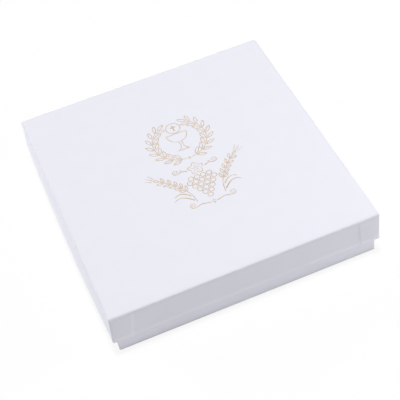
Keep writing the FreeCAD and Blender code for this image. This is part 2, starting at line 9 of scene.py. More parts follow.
import bpy
import numpy as np
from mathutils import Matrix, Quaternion, Vector


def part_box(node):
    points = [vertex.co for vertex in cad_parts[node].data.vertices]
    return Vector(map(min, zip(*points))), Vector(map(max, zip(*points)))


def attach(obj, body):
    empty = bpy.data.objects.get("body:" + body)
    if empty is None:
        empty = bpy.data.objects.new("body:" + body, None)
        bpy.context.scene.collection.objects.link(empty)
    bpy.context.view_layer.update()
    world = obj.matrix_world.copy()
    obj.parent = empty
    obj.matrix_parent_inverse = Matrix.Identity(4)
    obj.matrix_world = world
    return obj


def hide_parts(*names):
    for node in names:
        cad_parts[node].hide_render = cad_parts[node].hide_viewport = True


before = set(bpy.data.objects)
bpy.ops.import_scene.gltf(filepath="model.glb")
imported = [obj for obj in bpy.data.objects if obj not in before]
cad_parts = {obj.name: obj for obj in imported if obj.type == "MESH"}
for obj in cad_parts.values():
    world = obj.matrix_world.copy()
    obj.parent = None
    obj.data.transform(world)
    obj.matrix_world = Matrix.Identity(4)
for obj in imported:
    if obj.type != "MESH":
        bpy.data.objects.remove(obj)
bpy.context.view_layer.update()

bl_info = {
    "name": "Necklace box",
    "version": (1, 0, 0),
    "blender": (4, 5, 0),
    "location": "3D View > Sidebar > Necklace box",
    "description": "Wraps, lines, stamps and pads a rigid necklace box and sets it in a white studio",
    "category": "Object",
}

MM = 0.001
FLOOR_REACH = 4.0
SENSOR_WIDTH = 36.0
# Each softbox's place and width, in metres.
SOFTBOXES = {
    "over": ((0.0, -0.1, 2.2), 0.25),
    "right": ((0.55, -0.2, 0.2), 0.3),
    "left": ((-1.1, 1.0, 0.45), 0.8),
}
CORNER_NAMES = ("front_left", "front_right", "back_right", "back_left")
FOIL_NODES = ("foil_wreath", "foil_chalice", "foil_scrolls", "foil_wheat", "foil_grapes")


def linear(code):
    """An sRGB hex value as linear red, green and blue."""
    parts = np.array([int(code[start:start + 2], 16) for start in (1, 3, 5)]) / 255
    return tuple(np.where(parts <= 0.04045, parts / 12.92, ((parts + 0.055) / 1.055) ** 2.4))


def opaque(colour, light=1.0):
    """A colour with full alpha, darkened to a share of its light."""
    return (*(light * part for part in colour), 1.0)


# Settings

COLOUR = {"min": 0.0, "max": 1.0, "size": 3, "subtype": "COLOR"}


class WrapSettings(bpy.types.PropertyGroup):
    """Folds and colours of the white wrap paper."""
    fold_radius: bpy.props.FloatProperty(
        name="Fold radius", description="Outer radius of the paper over the folded board",
        default=0.8 * MM, min=0.3 * MM, max=1.3 * MM, unit="LENGTH")
    rim_radius: bpy.props.FloatProperty(
        name="Rim radius", description="Outer radius of the paper where it turns in over a rim",
        default=0.5 * MM, min=0.2 * MM, max=0.7 * MM, unit="LENGTH")
    shoulder: bpy.props.FloatProperty(
        name="Shoulder", description="How far the panel falls towards its folds",
        default=0.1 * MM, min=0.0, max=0.4 * MM, unit="LENGTH")
    shoulder_width: bpy.props.FloatProperty(
        name="Shoulder width", description="How far from a fold the panel starts to fall",
        default=7.0 * MM, min=1.0 * MM, max=20.0 * MM, unit="LENGTH")
    flare: bpy.props.FloatProperty(
        name="Flare", description="How far the lid's side walls lean out at the ends of their rim",
        default=0.45 * MM, min=0.0, max=1.5 * MM, unit="LENGTH")
    bow: bpy.props.FloatProperty(
        name="Bow", description="How much further the lid's side walls lean out at the middle of their rim",
        default=1.35 * MM, min=0.0, max=3.0 * MM, unit="LENGTH")
    lean: bpy.props.FloatProperty(
        name="Lean", description="How far the lid's rim sits to the left of its panel",
        default=0.45 * MM, min=0.0, max=1.0 * MM, unit="LENGTH")
    ridge: bpy.props.FloatProperty(
        name="Ridge", description="How far the paper stands proud along the lid's folds",
        default=0.1 * MM, min=0.0, max=0.3 * MM, unit="LENGTH")
    rim_swell: bpy.props.FloatProperty(
        name="Rim swell",
        description="How far the lid's front and back rims stand out over the turned-in paper",
        default=0.45 * MM, min=0.0, max=1.0 * MM, unit="LENGTH")
    turn_under: bpy.props.FloatProperty(
        name="Turn-under", description="Width of the strip of wrap under the base",
        default=12.0 * MM, min=2.0 * MM, max=40.0 * MM, unit="LENGTH")
    ear_length: bpy.props.FloatProperty(
        name="Ear length", description="Length of the paper ears tucked under the front and back walls",
        default=12.5 * MM, min=4.0 * MM, max=30.0 * MM, unit="LENGTH")
    ear_step: bpy.props.FloatProperty(
        name="Ear step", description="How far a tucked ear lifts the paper over it",
        default=0.26 * MM, min=0.0, max=0.5 * MM, unit="LENGTH")
    ear_slope: bpy.props.FloatProperty(
        name="Ear slope", description="Width of the slope at the edge of a tucked ear",
        default=1.5 * MM, min=0.2 * MM, max=4.0 * MM, unit="LENGTH")
    ripple: bpy.props.FloatProperty(
        name="Ripple", description="Height of the slow unevenness of the glued paper",
        default=0.05 * MM, min=0.0, max=0.3 * MM, unit="LENGTH")
    paper: bpy.props.FloatVectorProperty(
        name="Paper", description="Colour of the wrap paper",
        default=linear("#ECECF5"), **COLOUR)
    cloud: bpy.props.FloatVectorProperty(
        name="Cloud", description="Colour of the denser clouds in the paper",
        default=linear("#E9E9F2"), **COLOUR)
    # Painted shade along the folds, with wear at the upright corners: the colour that the fold mask mixes
    # in.
    shaded_and_worn: bpy.props.FloatVectorProperty(
        name="Greyed fold", description="Colour of the paper where a fold is rubbed",
        default=linear("#DADBE3"), **COLOUR)


class PadSettings(bpy.types.PropertyGroup):
    """Form and colours of the pad in the base."""
    crown: bpy.props.FloatProperty(
        name="Crown", description="How far the middle of the pad stands above its edges",
        default=0.7 * MM, min=0.0, max=3.0 * MM, unit="LENGTH")
    edge_radius: bpy.props.FloatProperty(
        name="Edge radius", description="Radius of the pad's top edges and upright corners",
        default=2.5 * MM, min=1.0 * MM, max=6.0 * MM, unit="LENGTH")
    draw_in: bpy.props.FloatProperty(
        name="Draw-in", description="How far the sides pull in between the corners",
        default=0.5 * MM, min=0.0, max=2.0 * MM, unit="LENGTH")
    slit_length: bpy.props.FloatProperty(
        name="Slit length", description="Length of each chain slit",
        default=24.0 * MM, min=5.0 * MM, max=60.0 * MM, unit="LENGTH")
    slit_inset: bpy.props.FloatProperty(
        name="Slit inset", description="Distance of a slit's middle from the pad's sides",
        default=26.0 * MM, min=12.0 * MM, max=50.0 * MM, unit="LENGTH")
    slit_width: bpy.props.FloatProperty(
        name="Slit width", description="Width of a slit's mouth at its middle",
        default=1.6 * MM, min=0.5 * MM, max=4.0 * MM, unit="LENGTH")
    slit_depth: bpy.props.FloatProperty(
        name="Slit depth", description="Depth of a slit",
        default=8.0 * MM, min=1.0 * MM, max=12.0 * MM, unit="LENGTH")
    pitch: bpy.props.FloatProperty(
        name="Pitch", description="Spacing of the grid over the pad",
        default=1.0 * MM, min=0.5 * MM, max=4.0 * MM, unit="LENGTH")
    pile: bpy.props.FloatVectorProperty(
        name="Pile", description="Colour of the flock where its fibres stand",
        default=linear("#F1F0EE"), **COLOUR)
    # Painted shade: the flock's colour between its fibres, where the pile stands in its own shade.
    root: bpy.props.FloatVectorProperty(
        name="Root", description="Colour between the fibres of the flock",
        default=linear("#D9D7D4"), **COLOUR)
    foam: bpy.props.FloatVectorProperty(
        name="Foam", description="Colour of the foam's cell walls",
        default=linear("#EFEEEA"), **COLOUR)


class SheetSettings(bpy.types.PropertyGroup):
    """Colours of the linings, the boards and the foil."""
    lining: bpy.props.FloatVectorProperty(
        name="Lining", description="Colour of the lining paper",
        default=linear("#EEEEF1"), **COLOUR)
    board: bpy.props.FloatVectorProperty(
        name="Board", description="Colour of the grey board",
        default=linear("#A9A49B"), **COLOUR)
    fleck: bpy.props.FloatVectorProperty(
        name="Fleck", description="Colour of the flecks of old print in the grey board",
        default=linear("#6E6B67"), **COLOUR)
    kraft: bpy.props.FloatVectorProperty(
        name="Kraft", description="Colour of the kraft stays",
        default=linear("#B88E5F"), **COLOUR)
    foil: bpy.props.FloatVectorProperty(
        name="Foil", description="Colour of the gold foil",
        default=linear("#CBAF8A"), **COLOUR)
    broken_foil: bpy.props.FloatVectorProperty(
        name="Broken foil", description="Colour of the foil where the paper breaks it",
        default=linear("#DECCB3"), **COLOUR)


class StageSettings(bpy.types.PropertyGroup):
    """Camera, lamps and floor."""
    camera_place: bpy.props.FloatVectorProperty(
        name="Camera place", description="Where the camera stands",
        default=(-116.0 * MM, -442.2 * MM, 501.3 * MM), size=3, subtype="TRANSLATION", unit="LENGTH")
    camera_aim: bpy.props.FloatVectorProperty(
        name="Camera aim", description="Point of the floor that the camera looks at",
        default=(2.88 * MM, -0.57 * MM, 0.0), size=3, subtype="TRANSLATION", unit="LENGTH")
    camera_roll: bpy.props.FloatProperty(
        name="Camera roll", description="Turn of the camera about its line of sight",
        default=math.radians(-9.48), subtype="ANGLE", unit="ROTATION")
    lens: bpy.props.FloatProperty(
        name="Lens", description="Focal length on a 36 mm sensor, in millimetres",
        default=100.24, min=20.0, max=300.0, subtype="DISTANCE_CAMERA")
    over_power: bpy.props.FloatProperty(
        name="Overhead power", description="Power of the softbox over the box",
        default=26.0, min=0.0, subtype="POWER", unit="POWER")
    right_power: bpy.props.FloatProperty(
        name="Right power", description="Power of the small softbox close by on the right",
        default=1.38, min=0.0, subtype="POWER", unit="POWER")
    left_power: bpy.props.FloatProperty(
        name="Left power", description="Power of the low softbox at the back left",
        default=11.5, min=0.0, subtype="POWER", unit="POWER")
    ambient: bpy.props.FloatProperty(
        name="Ambient", description="Strength of the even light from all round",
        default=0.25, min=0.0, max=2.0)
    floor: bpy.props.FloatVectorProperty(
        name="Floor", description="Colour of the studio floor",
        default=linear("#FAFAFB"), **COLOUR)
    floor_white: bpy.props.FloatProperty(
        name="Floor white", description="Share of plain white in the floor that the camera sees",
        default=0.86, min=0.0, max=1.0, subtype="FACTOR")


# Meshes

# Angles between faces, in degrees, past which an edge is shaded sharp.
PAPER_SHARP = 45.0
PAD_SHARP = 70.0


def smooth_step(share):
    """0 below 0, 1 above 1, and 3 t squared less 2 t cubed between."""
    share = np.clip(share, 0.0, 1.0)
    return share * share * (3 - 2 * share)


def tube_quads(rows, columns, closed):
    """Quads of a grid whose columns run round; its rows run round as well where it is closed."""
    row = np.arange(rows if closed else rows - 1)[:, None] * columns
    after = (row + columns) % (rows * columns)
    column = np.arange(columns)[None, :]
    beside = (column + 1) % columns
    return np.stack([row + column, row + beside, after + beside, after + column], axis=-1).reshape(-1, 4)


def strip_quads(first, second):
    """Quads between two closed loops of as many points."""
    return np.stack([first, np.roll(first, -1), np.roll(second, -1), second], axis=-1)


def fan(centre, loop):
    """Triangles from one point to a closed loop."""
    return np.stack([np.full(len(loop), centre), loop, np.roll(loop, -1)], axis=-1)


def volume(points, faces):
    """Signed volume: a sixth of the sum of a . (b x c) over the triangles of the faces."""
    triangles = [np.asarray(group)[:, [0, turn, turn + 1]]
                 for group in faces for turn in range(1, np.asarray(group).shape[1] - 1)]
    a, b, c = (points[np.concatenate(triangles)[:, corner]] for corner in range(3))
    return np.einsum("ij,ij->", a, np.cross(b, c)) / 6


def add_piece(name, points, faces, body, material, sharp=PAPER_SHARP):
    """A closed mesh piece that rides on a body. Faces are groups of quads or triangles, turned outwards."""
    outward = volume(points, faces) > 0
    polygons = [face for group in faces for face in (group if outward else group[:, ::-1]).tolist()]
    mesh = bpy.data.meshes.new(name)
    mesh.from_pydata(points.tolist(), [], polygons)
    mesh.shade_smooth()
    mesh.set_sharp_from_angle(angle=math.radians(sharp))
    mesh.materials.append(material)
    piece = bpy.data.objects.new(name, mesh)
    bpy.context.scene.collection.objects.link(piece)
    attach(piece, body)
    return piece


def add_mask(piece, name, values):
    """A number for each point of a piece, for its material to read."""
    mask = piece.data.attributes.new(name, "FLOAT", "POINT")
    mask.data.foreach_set("value", values.astype(np.float32))


def dress(nodes, material):
    """Gives CAD nodes a material."""
    for node in nodes:
        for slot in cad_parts[node].material_slots:
            slot.material = material


# Trays

# Counts of points along each stretch of a tray, and the digits that tell two stations apart.
RING_STEPS = 16
ARC_STEPS = 7
WALL_STEPS = 26
SIDE_STEPS = 42
EAR_STEPS = 11
CORNER_STEPS = 6
STRIP_STEPS = 6
TURN_IN_STEPS = 5
INSIDE_STEPS = 4
STATION_DIGITS = 6
# Sizes of the small forms, in metres.
INNER_RADIUS = 0.12 * MM
EAR_REACH = 2.5 * MM
EAR_SLANT = 1.6 * MM
EAR_FADE = 3.0 * MM
RIDGE_WIDTH = 1.2 * MM
SWELL_HEIGHT = 2.0 * MM
# Proportions of the panel, the wall's rows, the turned-in edge, the base's ears, the painted shade along
# the folds and the wear at the corners.
PANEL_HUB = 0.06
SHOULDER_REACH = 2.0
WALL_CROWDING = 0.8
TURN_IN_GAP = 1.5
BASE_EAR_SHARE = 1 / 6
FOLD_SHADE_PLACE = 0.4
FOLD_SHADE_REACH = 1.6
CORNER_WEAR = 0.8
INSIDE_SHADE_AND_WEAR = 0.3
# Each wave of the ripple: its length in millimetres, its starting angle and its share of the height.
RIPPLE_WAVES = ((61.0, 0.4, 0.55), (37.0, 2.1, 0.3), (19.0, 4.4, 0.15))
RIPPLE_CROSSING = 0.7
# Forms of the wrap that only the lid has.
LID_FORMS = ("shoulder", "flare", "bow", "lean", "ridge", "rim_swell")


def side_stations(half, ear):
    """Places along one side, from -1 to 1: even steps, and a cluster of close ones at each ear's edge."""
    even = np.linspace(-1, 1, SIDE_STEPS)
    close = np.linspace(-EAR_REACH, EAR_REACH, EAR_STEPS)
    clusters = [sign * (half - ear + close) / half for sign in (-1, 1)]
    return np.unique(np.round(np.concatenate([even, *clusters]), STATION_DIGITS))


def stations(half_x, half_y, ear):
    """Stations round a rounded rectangle, anticlockwise from the front left.

    Each has a place (a, b), from -1 to 1, and a normal (m, n). A ring of half sizes x and y and corner
    radius r has the point (a (x - r) + m r, b (y - r) + n r) there: on a side the place moves, and on a
    corner the normal does.
    """
    along_x = side_stations(half_x, ear)
    along_y = np.linspace(-1, 1, SIDE_STEPS)
    turn = np.linspace(0, math.pi / 2, CORNER_STEPS + 2)[1:-1]
    parts = []
    for side, along in enumerate((along_x, along_y, along_x, along_y)):
        angle = side * math.pi / 2
        right = np.array([math.cos(angle), math.sin(angle)])
        out = np.array([math.sin(angle), -math.cos(angle)])
        straight = along[:, None] * right + out
        corner = np.repeat((right + out)[None], len(turn), axis=0)
        bend = np.cos(turn)[:, None] * out + np.sin(turn)[:, None] * right
        parts.append(np.concatenate([straight, np.repeat(out[None], len(along), axis=0)], axis=1))
        parts.append(np.concatenate([corner, bend], axis=1))
    return np.concatenate(parts).T


def ripple(along, across):
    """A slow unevenness between -1 and 1: sines of three wavelengths along, times cosines across."""
    total = 0.0
    for wave, start, share in RIPPLE_WAVES:
        turn = 2 * math.pi / (wave * MM)
        crossed = np.cos(RIPPLE_CROSSING * turn * across + 2 * start)
        total = total + share * np.sin(turn * along + start) * crossed
    return total


def quarter_turn():
    """Angles of a quarter turn, in even steps."""
    return np.linspace(0, math.pi / 2, ARC_STEPS)


def section(*parts):
    """A tray's section: each part gives inset, depth, scale and outward share, single numbers or arrays."""
    rows = [np.stack(np.broadcast_arrays(*part), axis=-1).reshape(-1, 4) for part in parts]
    return np.concatenate(rows).T


def wall_shares():
    """A wall's rows as shares of the way from fold to rim: even, but drawn to both ends by a sine."""
    even = np.linspace(0, 1, WALL_STEPS)[1:-1]
    return even - WALL_CROWDING * np.sin(2 * math.pi * even) / (2 * math.pi)


def panel_scales(tray, wrap):
    """Scales of the rings of a panel, from near its middle to its fold, closer where the panel falls."""
    flat = 1 - SHOULDER_REACH * wrap.shoulder_width / tray["half"].min()
    return np.concatenate([np.linspace(PANEL_HUB, flat, RING_STEPS), np.linspace(flat, 1, RING_STEPS)[1:]])


def wrap_section(tray, wrap, insets, scales):
    """The wrap's section, from the panel over the fold, down the wall, round the rim and back inside.

    Depth runs from the panel to the rim. The fold and the rim are quarter circles. The paper's inner side
    follows the board at one paper's distance.
    """
    fold, rim, paper = wrap.fold_radius, wrap.rim_radius, tray["paper"]
    deep, wall, turn_in = tray["deep"], tray["wall"], tray["turn_in"]
    bend = quarter_turn()
    over = bend[1:]
    inner_fold = fold - paper
    near_fold = 1 - (1 - scales) * tray["half"].min() / wrap.shoulder_width
    shoulder = tray["shoulder"]
    return section(
        (insets, shoulder * smooth_step(near_fold), scales, 0.0),
        (fold * (1 - np.sin(over)), fold * (1 - np.cos(over)) + shoulder * np.cos(over), 1.0, np.sin(over)),
        (0.0, fold + (deep - rim - fold) * wall_shares(), 1.0, 1.0),
        (rim * (1 - np.cos(bend)), deep - rim + rim * np.sin(bend), 1.0, 1.0),
        (wall - rim + rim * np.sin(bend), deep - rim + rim * np.cos(bend), 1.0, 0.0),
        (wall, np.linspace(deep - rim, deep - turn_in, TURN_IN_STEPS)[1:], 1.0, 0.0),
        (wall - paper, np.linspace(deep - turn_in, deep - paper, INSIDE_STEPS), 1.0, 0.0),
        (paper, np.linspace(deep - paper, fold, INSIDE_STEPS), 1.0, 0.0),
        (fold - inner_fold * np.cos(over), fold - inner_fold * np.sin(over), 1.0, 0.0),
        (insets[::-1][1:], paper, scales[::-1][1:], 0.0),
    )


def sheet_section(outer, inner, edge, fold, scales):
    """The section of a folded sheet: outside from the panel down to its edge, and back up inside.

    Outer and inner are the sheet's two distances from the tray's outside, on the walls and the panel alike.
    """
    bend = quarter_turn()[1:]
    return section(
        (outer + fold, outer, scales, 0.0),
        (outer + fold * (1 - np.sin(bend)), outer + fold * (1 - np.cos(bend)), 1.0, 0.0),
        (outer, np.linspace(outer + fold, edge, INSIDE_STEPS)[1:], 1.0, 0.0),
        (inner, np.linspace(edge, inner, INSIDE_STEPS), 1.0, 0.0),
        (inner, inner, scales[::-1][1:], 0.0),
    )


def carry(profile, tray, wrap):
    """Carries a section round a tray; gives the points, a row of stations for each of the section's points.

    A point is the ring's place at the section's inset, times its scale, at its depth from the panel. With
    depth, the side walls lean out, most at their middle by a parabola, and all walls lean a little to the
    left. The outside also stands proud along the fold by a bell and ripples slowly, and on the front and
    back walls it lifts over the ears and swells out above the rim, both by smooth steps.
    """
    half_x, half_y = tray["half"]
    place_x, place_y, normal_x, normal_y = stations(half_x, half_y, wrap.ear_length)
    inset, depth, scale, out = (part[:, None] for part in profile)
    radius = np.maximum(wrap.fold_radius - inset, INNER_RADIUS)
    x = (place_x * (half_x - inset - radius) + normal_x * radius) * scale
    y = (place_y * (half_y - inset - radius) + normal_y * radius) * scale
    z = np.broadcast_to(tray["panel"] + tray["toward"] * depth, x.shape)
    share = depth / tray["deep"]
    ear = wrap.ear_length + EAR_SLANT * (0.5 - share)
    step = tray["ear_step"] * smooth_step(depth / EAR_FADE)
    step = step * (1 - smooth_step((half_x - np.abs(x) - ear) / wrap.ear_slope + 0.5))
    ridge = tray["ridge"] * np.exp(-((depth - wrap.fold_radius) / RIDGE_WIDTH) ** 2)
    swell_start = tray["deep"] - wrap.rim_radius - SWELL_HEIGHT
    swell = tray["rim_swell"] * smooth_step((depth - swell_start) / SWELL_HEIGHT)
    lift = out * ((step + swell) * normal_y ** 2 + ridge + wrap.ripple * ripple(x + y, z))
    bow = tray["flare"] + tray["bow"] * (1 - (y / half_y) ** 2)
    x = x + share * (bow * x / half_x - tray["lean"]) + lift * normal_x
    y = y + lift * normal_y
    return np.stack([x, y, z], axis=-1)


def fold_mask(profile, tray, wrap):
    """Painted shade and wear of the paper, from 0 to 1: a bell of painted shade across the fold, and sin
    squared of twice a corner's turn for wear at the upright corners.

    None shows on the panel, and little on the paper's inner side.
    """
    inset, depth, scale, out = profile
    normal_x, normal_y = stations(*tray["half"], wrap.ear_length)[2:]
    reach = FOLD_SHADE_REACH * wrap.fold_radius
    near_fold = np.exp(-((np.hypot(inset, depth) - FOLD_SHADE_PLACE * wrap.fold_radius) / reach) ** 2)
    shown = np.where(out > 0, 1.0, np.where(scale < 1, 0.0, INSIDE_SHADE_AND_WEAR))
    corner = 4 * (normal_x * normal_y) ** 2
    mask = np.maximum(near_fold[:, None], CORNER_WEAR * corner[None])
    return (mask * shown[:, None]).reshape(-1)


def add_tray(name, profile, tray, wrap, material, ring=False):
    """A tray carried from its section. Each skin closes at a middle point, unless it is an open ring."""
    grid = carry(profile, tray, wrap)
    count, columns = grid.shape[:2]
    points = grid.reshape(-1, 3)
    faces = [tube_quads(count, columns, closed=ring)]
    if not ring:
        middle = [(0, 0, grid[0, 0, 2]), (0, 0, grid[-1, 0, 2])]
        first, last = np.arange(columns), np.arange(columns) + (count - 1) * columns
        faces += [fan(len(points), first)[:, ::-1], fan(len(points) + 1, last)]
        points = np.concatenate([points, middle])
    return add_piece(name, points, faces, tray["body"], material)


def tray_sizes(name, wrap):
    """A tray's sizes, read from its CAD nodes, and the small forms of its wrap."""
    low, high = (np.array(corner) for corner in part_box(f"{name}_wrap"))
    board_low = np.array(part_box(f"{name}_board")[0])
    liner_low, liner_high = (np.array(corner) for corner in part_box(f"{name}_liner"))
    is_lid = name == "lid"
    panel, rim = (high[2], low[2]) if is_lid else (low[2], high[2])
    liner_edge = liner_low[2] if is_lid else liner_high[2]
    paper = board_low[0] - low[0]
    return {
        "body": name,
        "half": (high - low)[:2] / 2,
        "panel": panel,
        "toward": math.copysign(1.0, rim - panel),
        "deep": abs(rim - panel),
        "paper": paper,
        "board": liner_low[0] - low[0],
        "wall": liner_low[0] - low[0] + paper,
        "liner_edge": abs(liner_edge - panel),
        "turn_in": abs(rim - liner_edge) - TURN_IN_GAP * paper,
        "ear_step": wrap.ear_step * (1.0 if is_lid else BASE_EAR_SHARE),
        **{form: getattr(wrap, form) if is_lid else 0.0 for form in LID_FORMS},
    }


# Pad

SIDE_ROWS = 8
SLIT_TURN = math.pi / 4
# Rows of the grid beside a slit, in halves of its width.
SLIT_ROWS = np.array([0.15, 0.3, 0.5, 0.7, 0.85, 0.95, 1.0, 1.05, 1.2, 1.5])
SLIT_END_SPREAD = 0.15
SLIT_END_REACH = 3.0 * MM
LEAST_MOUTH = 0.001 * MM
LIP_REACH = 4.0 * MM
LIP_DIP = 0.35 * MM
LIP_SPREAD = 1.5


def pad_axis(half, radius, pitch, close):
    """Places along one side of the pad: even steps, the close places, and round edges by equal angles.

    An even step within a quarter pitch of a close place is left out.
    """
    flat = half - radius
    even = np.linspace(-flat, flat, round(2 * flat / pitch))[1:-1]
    edge = flat + radius * np.cos(quarter_turn()[::-1])
    clear = np.abs(even[:, None] - close[None, :]).min(axis=1) > pitch / 4
    return np.concatenate([-edge[::-1], np.sort(np.concatenate([even[clear], close])), edge])


def slit_taper(along, pad):
    """Half an ellipse over a slit's length: 1 at its middle and 0 at its ends and past them."""
    return np.sqrt(np.clip(1 - (2 * along / pad.slit_length) ** 2, 0, 1))


def follow_slits(x, y, middle, pad):
    """Moves the grid so that its rows run along the slits.

    Round a slit's middle the grid is turned by 45 degrees, which fades out with distance. Before that, the
    rows near the slit are drawn together as its mouth narrows, and spread again past its ends.
    """
    half_length, half_width = pad.slit_length / 2, pad.slit_width / 2
    near, far = half_length + SLIT_END_REACH, pad.slit_inset - pad.edge_radius
    for side in (-1, 1):
        along, across = x - side * middle[0], y - middle[1]
        past_end = smooth_step((np.abs(along) - half_length) / SLIT_END_REACH)
        spread = np.maximum(np.maximum(slit_taper(along, pad), past_end), SLIT_END_SPREAD)
        away = np.clip((np.abs(across) - half_width) / (LIP_REACH - half_width), 0, 1)
        across = across * (spread + (1 - spread) * away)
        turn = -side * SLIT_TURN * (1 - smooth_step((np.hypot(along, across) - near) / (far - near)))
        x = side * middle[0] + along * np.cos(turn) - across * np.sin(turn)
        y = middle[1] + along * np.sin(turn) + across * np.cos(turn)
    return x, y


def slit_fall(x, y, middle, pad):
    """How far the pad's top falls into its slits.

    Each mouth is as wide as half an ellipse along the slit; inside it the fall grows with the square root
    of the distance from the lip, and outside the cloth dips by a bell.
    """
    fall = 0.0
    for side in (-1, 1):
        along = ((x - side * middle[0]) - side * (y - middle[1])) / math.sqrt(2)
        across = (side * (x - side * middle[0]) + (y - middle[1])) / math.sqrt(2)
        taper = slit_taper(along, pad)
        mouth = np.maximum(taper * pad.slit_width / 2, LEAST_MOUTH)
        inside = np.sqrt(np.clip(1 - np.abs(across) / mouth, 0, 1))
        dip = LIP_DIP * np.exp(-(across / (LIP_SPREAD * pad.slit_width)) ** 2) * taper
        fall = fall + pad.slit_depth * taper * inside + dip
    return fall


def pad_skin(pad, box, inset):
    """The pad's top as a grid, and its sides as rows below the grid's edge.

    The grid follows the slits. In plan, the corner squares are bent to quarter discs by
    (u sqrt(1 - v v / 2), v sqrt(1 - u u / 2)), and the edge is round in section. The top swells by a crown
    that is the product of two parabolas. The sides pull in by a parabola between the corners, which fades
    towards the middle by the fourth power.
    """
    low, high = (np.array(corner) for corner in box)
    half_x, half_y = high[:2] - inset
    radius = pad.edge_radius - inset
    middle = high[:2] - pad.slit_inset
    close = middle[1] + np.concatenate([-SLIT_ROWS[::-1], [0.0], SLIT_ROWS]) * pad.slit_width / 2
    grid_x, grid_y = np.meshgrid(
        pad_axis(half_x, radius, pad.pitch, middle[0] * np.array([-1.0, 1.0])),
        pad_axis(half_y, radius, pad.pitch, close))
    grid_x, grid_y = follow_slits(grid_x, grid_y, middle, pad)
    u = np.clip((np.abs(grid_x) - half_x + radius) / radius, 0, 1)
    v = np.clip((np.abs(grid_y) - half_y + radius) / radius, 0, 1)
    bent_u, bent_v = u * np.sqrt(1 - v * v / 2), v * np.sqrt(1 - u * u / 2)
    x = np.sign(grid_x) * (np.minimum(np.abs(grid_x), half_x - radius) + radius * bent_u)
    y = np.sign(grid_y) * (np.minimum(np.abs(grid_y), half_y - radius) + radius * bent_v)
    round_edge = radius * (np.sqrt(np.clip(1 - bent_u ** 2 - bent_v ** 2, 0, 1)) - 1)
    crown = pad.crown * (1 - (x / half_x) ** 2) * (1 - (y / half_y) ** 2)
    top = high[2] - inset + round_edge + crown - slit_fall(x, y, middle, pad)
    pull_x = 1 - pad.draw_in / half_x * (1 - (y / half_y) ** 2) * (x / half_x) ** 4
    pull_y = 1 - pad.draw_in / half_y * (1 - (x / half_x) ** 2) * (y / half_y) ** 4
    x, y = x * pull_x, y * pull_y
    index = np.arange(x.size).reshape(x.shape)
    loop = np.concatenate([index[0, :-1], index[:-1, -1], index[-1, :0:-1], index[:0:-1, 0]])
    corners = (index[:-1, :-1], index[:-1, 1:], index[1:, 1:], index[1:, :-1])
    cells = np.stack(corners, axis=-1).reshape(-1, 4)
    points = np.stack([x, y, top], axis=-1).reshape(-1, 3)
    drop = np.linspace(0, 1, SIDE_ROWS)[1:, None]
    edge = points[loop]
    sides = np.repeat(edge[None], len(drop), axis=0)
    sides[..., 2] = edge[None, :, 2] + drop * (low[2] - edge[None, :, 2])
    return points, cells, loop, sides


def skin_faces(start, cells, loop, rows_below, columns):
    """Faces of a skin whose points start at an index, its cells and the rows below, and its lowest loop."""
    row_start = start + cells.max() + 1
    below = row_start + np.arange(rows_below * columns).reshape(rows_below, columns)
    chain = [start + loop, *below]
    sides = [strip_quads(chain[level + 1], chain[level]) for level in range(rows_below)]
    return [start + cells, *sides], below[-1]


# Materials

def add_node(tree, kind, values=(), links=(), **settings):
    """A node with its settings, its input values and its links, given as (input, node, output)."""
    node = tree.nodes.new(kind)
    for key, value in settings.items():
        setattr(node, key, value)
    for socket, value in values:
        node.inputs[socket].default_value = value
    for socket, source, output in links:
        tree.links.new(source.outputs[output], node.inputs[socket])
    return node


def new_material(name):
    """A material with an empty node tree, and that tree."""
    material = bpy.data.materials.new(name)
    material.use_nodes = True
    material.node_tree.nodes.clear()
    return material, material.node_tree


def grain(size):
    """The scale of a noise whose grains are about a size across."""
    return 1 / size


# A Mix node's sockets for colours: its two inputs and its output.
MIX_A, MIX_B, MIX_RESULT = 6, 7, 2
# Shares of the light that are left between the fibres of a paper and in the cells of the foam.
LINING_SHADE = 0.965
KRAFT_SHADE = 0.7
FOAM_SHADE = 0.72


def white_wrap_paper(wrap):
    """Uncoated white cover paper, brightened and calendered: cold matt white with a fine tooth.

    It has faint clouds; painted shade makes the folds a little greyer, and wear the upright corners. The
    tooth is drawn at 0.7 mm, coarser than the real 0.2 mm, so that it shows.
    """
    material, tree = new_material("white_wrap_paper")
    place = add_node(tree, "ShaderNodeTexCoord")
    clouds = add_node(tree, "ShaderNodeTexNoise", [("Scale", grain(11 * MM)), ("Detail", 3.0)],
                      [("Vector", place, "Object")])
    tone = add_node(tree, "ShaderNodeMix", [(MIX_A, opaque(wrap.paper)), (MIX_B, opaque(wrap.cloud))],
                    [("Factor", clouds, "Fac")], data_type="RGBA")
    # Painted shade along the folds and wear at the upright corners: the fold mask, broken up by blotches,
    # mixes in the greyer colour.
    fold = add_node(tree, "ShaderNodeAttribute", attribute_name="fold")
    blotches = add_node(tree, "ShaderNodeTexNoise", [("Scale", grain(2.5 * MM)), ("Detail", 4.0)],
                     [("Vector", place, "Object")])
    shade_and_wear = add_node(tree, "ShaderNodeMath", [], [(0, fold, "Fac"), (1, blotches, "Fac")],
                    operation="MULTIPLY")
    colour = add_node(tree, "ShaderNodeMix", [(MIX_B, opaque(wrap.shaded_and_worn))],
                      [("Factor", shade_and_wear, "Value"), (MIX_A, tone, MIX_RESULT)], data_type="RGBA")
    tooth = add_node(tree, "ShaderNodeTexNoise",
                     [("Scale", grain(0.7 * MM)), ("Detail", 3.0), ("Roughness", 0.6)],
                     [("Vector", place, "Object")])
    bump = add_node(tree, "ShaderNodeBump", [("Strength", 0.35), ("Distance", 0.02 * MM)],
                    [("Height", tooth, "Fac")])
    paper = add_node(tree, "ShaderNodeBsdfPrincipled", [("Roughness", 0.68), ("Specular IOR Level", 0.3)],
                     [("Base Color", colour, MIX_RESULT), ("Normal", bump, "Normal")])
    add_node(tree, "ShaderNodeOutputMaterial", [], [("Surface", paper, "BSDF")])
    return material


